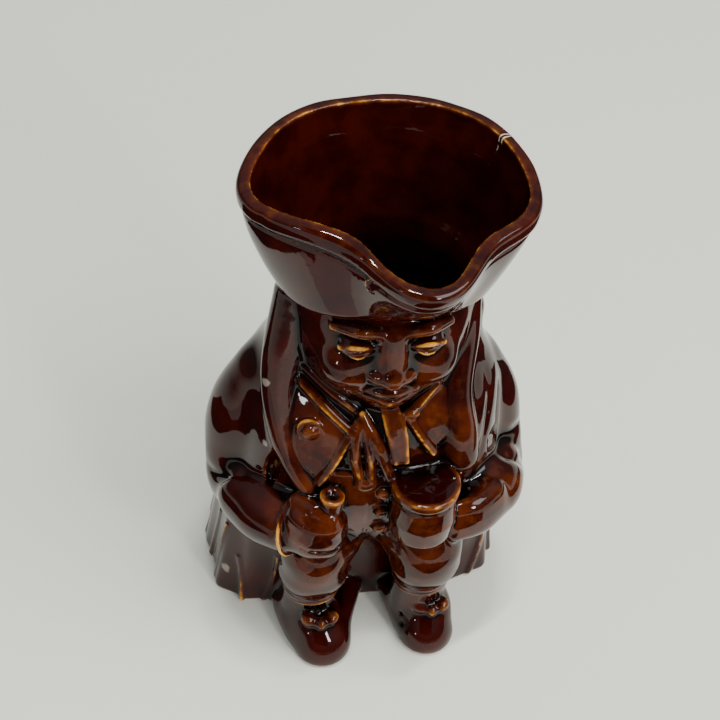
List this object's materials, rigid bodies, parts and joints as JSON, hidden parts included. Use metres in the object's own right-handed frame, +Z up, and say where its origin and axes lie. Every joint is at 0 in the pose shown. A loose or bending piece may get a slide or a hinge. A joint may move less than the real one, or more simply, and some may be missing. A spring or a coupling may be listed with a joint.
{
  "type": "toby jug",
  "caption": "Small treacle-glazed jug cast as a stout seated man in a tricorn hat, holding a mug and a pipe; the hat is the open mouth and its front corner the spout.",
  "frame": {"origin": "on the flat underside, on the upright axis that the body is drawn round", "axes": "+Z up, the figure faces -Y, +X on the right of a viewer who looks at its face"},
  "size_m": [0.0768, 0.0848, 0.13],
  "materials": {
    "treacle_glaze": "gloss"
  },
  "bodies": {
    "root": {"jug": "treacle_glaze"}
  },
  "joints": []
}
